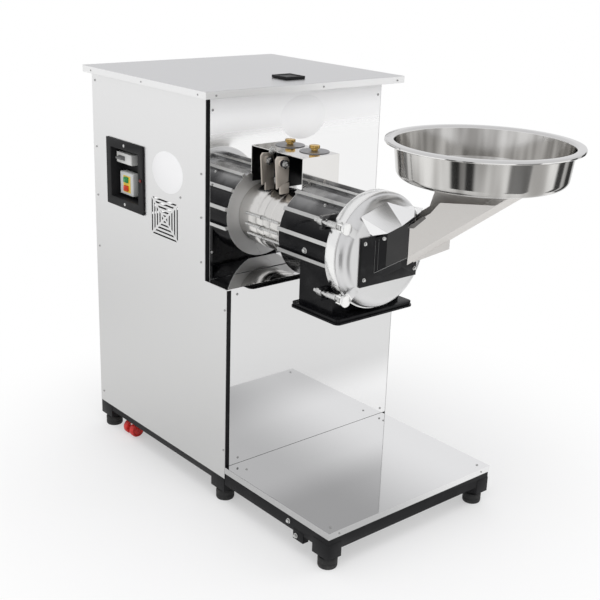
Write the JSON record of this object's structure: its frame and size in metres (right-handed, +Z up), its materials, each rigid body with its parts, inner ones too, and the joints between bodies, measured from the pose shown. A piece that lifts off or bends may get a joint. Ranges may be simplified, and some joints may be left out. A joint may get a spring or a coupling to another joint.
{
  "type": "pulverizer",
  "caption": "Cabinet pulverizer: stepped steel cabinet on a platform, ribbed grinding chamber with a swinging lid, sloping chute and round feed bowl.",
  "frame": {"origin": "middle of the outline seen from above, on the floor under the feet", "axes": "+X to the right of the user, +Y from the platform towards the back of the cabinet, +Z up; the front is -Y"},
  "size_m": [0.6043, 1.1727, 0.972],
  "materials": {
    "black_paint": "gloss black paint",
    "brushed": "brushed stainless sheet",
    "mirror": "mirror-polished stainless sheet",
    "polished": "polished stainless steel",
    "cast": "black enamel on cast iron",
    "motor_grey": "grey primer",
    "machined": "machined and zinc-plated steel",
    "plain_steel": "turned steel",
    "rubber": "black rubber",
    "black_plastic": "black moulded plastic",
    "white_plastic": "white moulded plastic",
    "grey_plastic": "grey moulded plastic",
    "red_plastic": "red moulded plastic",
    "green_plastic": "green moulded plastic",
    "brass": "polished brass"
  },
  "bodies": {
    "cabinet": {"base_frame": "black_paint", "cabinet_frame": "black_paint", "platform_plate": "mirror", "side_panel_left": "brushed", "side_panel_right": "brushed", "upper_front_panel": "mirror", "lower_front_panel": "mirror", "rear_panel": "brushed", "cable_gland": "black_plastic", "cover": "brushed", "cover_plug": "black_plastic", "chamber_body": "cast", "sieve_screen": "plain_steel", "neck": "machined", "mount_plate": "plain_steel", "bearing_housing": "motor_grey", "bearing_front": "plain_steel", "bearing_rear": "plain_steel", "motor_base": "black_paint", "motor_body": "motor_grey", "v_belt": "rubber", "guard_box": "mirror", "cup_washer": "plain_steel", "lug_plate": "machined", "control_bezel": "black_plastic", "breaker": "white_plastic", "button_station": "grey_plastic", "lamp": "red_plastic", "hinge_pin": "machined", "castor_fork_left": "machined", "castor_fork_right": "machined", "foot_front_left": "rubber", "foot_front_right": "rubber", "foot_middle_left": "rubber", "foot_middle_right": "rubber", "foot_rear_left": "rubber", "foot_rear_right": "rubber"},
    "rotor_shaft": {"main_shaft": "plain_steel", "rotor": "plain_steel", "rotor_nut": "machined", "driven_pulley": "plain_steel"},
    "motor_rotor": {"motor_shaft": "plain_steel", "motor_pulley": "plain_steel"},
    "lid_assembly": {"lid": "polished", "feed_plate": "cast", "chute": "brushed", "bowl": "polished", "clamp_pin_upper": "machined", "clamp_pin_lower": "machined"},
    "gate": {"chute_gate": "plain_steel"},
    "upper_bolt": {"clamp_bolt_upper": "machined"},
    "upper_nut": {"clamp_nut_upper": "machined"},
    "lower_bolt": {"clamp_bolt_lower": "machined"},
    "lower_nut": {"clamp_nut_lower": "machined"},
    "start": {"start_button": "green_plastic"},
    "stop": {"stop_button": "red_plastic"},
    "toggle": {"breaker_toggle": "black_plastic"},
    "grease_cup_cap": {"grease_cup": "brass"},
    "left_castor": {"castor_wheel_left": "red_plastic"},
    "right_castor": {"castor_wheel_right": "red_plastic"}
  },
  "joints": [
    {"name": "lid_swing", "type": "hinge", "parent": "cabinet", "child": "lid_assembly", "pos_m": [0.12786, -0.20266, 0.642], "axis": [0, 0, 1], "range_deg": [0, 100]},
    {"name": "gate_slide", "type": "slide", "parent": "lid_assembly", "child": "gate", "axis": [0, 0, 1], "range_m": [0, 0.04]},
    {"name": "upper_bolt_swing", "type": "hinge", "parent": "lid_assembly", "child": "upper_bolt", "pos_m": [-0.15564, -0.22846, 0.7125], "axis": [0, 0, 1], "range_deg": [0, 85]},
    {"name": "upper_nut_turn", "type": "hinge", "parent": "upper_bolt", "child": "upper_nut", "pos_m": [-0.15564, -0.16466, 0.7125], "axis": [0, 1, 0], "continuous": true},
    {"name": "lower_bolt_swing", "type": "hinge", "parent": "lid_assembly", "child": "lower_bolt", "pos_m": [-0.15014, -0.22846, 0.554], "axis": [0, 0, 1], "range_deg": [0, 85]},
    {"name": "lower_nut_turn", "type": "hinge", "parent": "lower_bolt", "child": "lower_nut", "pos_m": [-0.15014, -0.16466, 0.554], "axis": [0, 1, 0], "continuous": true},
    {"name": "rotor_spin", "type": "hinge", "parent": "cabinet", "child": "rotor_shaft", "pos_m": [-0.03714, 0.00334, 0.642], "axis": [0, 1, 0], "continuous": true},
    {"name": "motor_spin", "type": "hinge", "parent": "cabinet", "child": "motor_rotor", "pos_m": [-0.03714, 0.27834, 0.235], "axis": [0, 1, 0], "continuous": true},
    {"name": "start_press", "type": "slide", "parent": "cabinet", "child": "start", "axis": [1, 0, 0], "range_m": [0, 0.003], "stiffness_N_per_m": 400},
    {"name": "stop_press", "type": "slide", "parent": "cabinet", "child": "stop", "axis": [1, 0, 0], "range_m": [0, 0.003], "stiffness_N_per_m": 400},
    {"name": "breaker_flip", "type": "hinge", "parent": "cabinet", "child": "toggle", "pos_m": [-0.26944, 0.44954, 0.752], "axis": [0, 1, 0], "range_deg": [-25, 25]},
    {"name": "grease_cup_turn", "type": "hinge", "parent": "cabinet", "child": "grease_cup_cap", "pos_m": [-0.00114, 0.04134, 0.8121], "axis": [0, 0, 1], "continuous": true},
    {"name": "left_castor_roll", "type": "hinge", "parent": "cabinet", "child": "left_castor", "pos_m": [-0.25414, 0.44434, 0.021], "axis": [0, 1, 0], "continuous": true},
    {"name": "right_castor_roll", "type": "hinge", "parent": "cabinet", "child": "right_castor", "pos_m": [0.22386, 0.44434, 0.021], "axis": [0, 1, 0], "continuous": true}
  ],
  "couplings": [
    {"joint": "motor_spin", "follows": "rotor_spin", "ratio": 0.4366}
  ]
}
